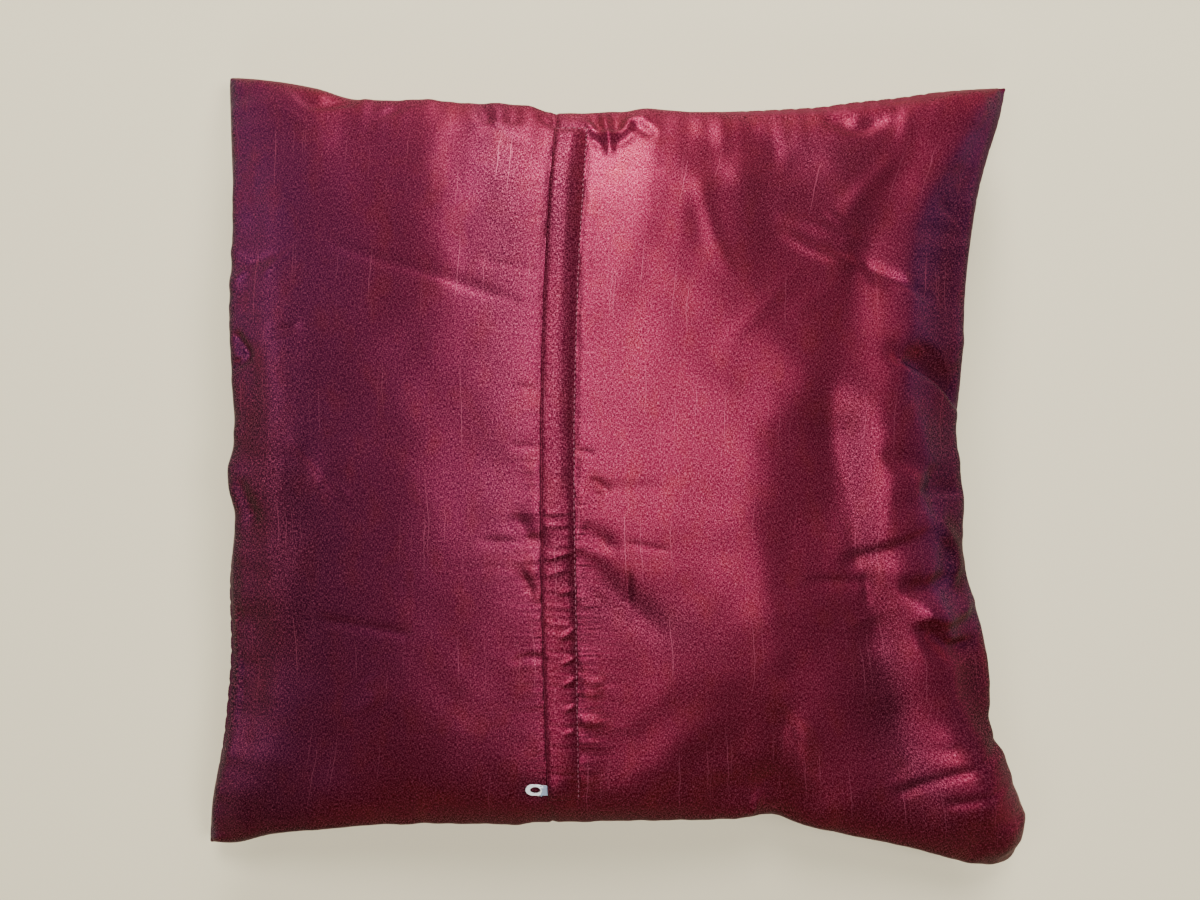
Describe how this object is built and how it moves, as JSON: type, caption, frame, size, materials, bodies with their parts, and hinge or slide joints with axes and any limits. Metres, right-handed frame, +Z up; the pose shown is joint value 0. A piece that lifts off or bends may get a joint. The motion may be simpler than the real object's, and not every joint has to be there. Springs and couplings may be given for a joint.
{
  "type": "throw pillow",
  "caption": "Square filled cushion lying on its face, with drawn-in sides, pointed corners, and a lapped zip and pull tab down its plain back.",
  "frame": {"origin": "on the floor under the middle of the pillow's box", "axes": "+Z up from the floor through the back, the thin way of the pillow; +X along the wider side, towards the right of the back as seen from above; +Y towards the top side, away from the pull tab"},
  "size_m": [0.406, 0.3938, 0.1218],
  "materials": {
    "shot_taffeta": "wine-red shot taffeta with a satin sheen that turns purple at a slant",
    "plated_metal": "bright nickel plate on a stamped tab"
  },
  "bodies": {
    "root": {"cushion": "shot_taffeta", "zip_lap": "shot_taffeta", "pull_tab": "plated_metal"}
  },
  "joints": []
}
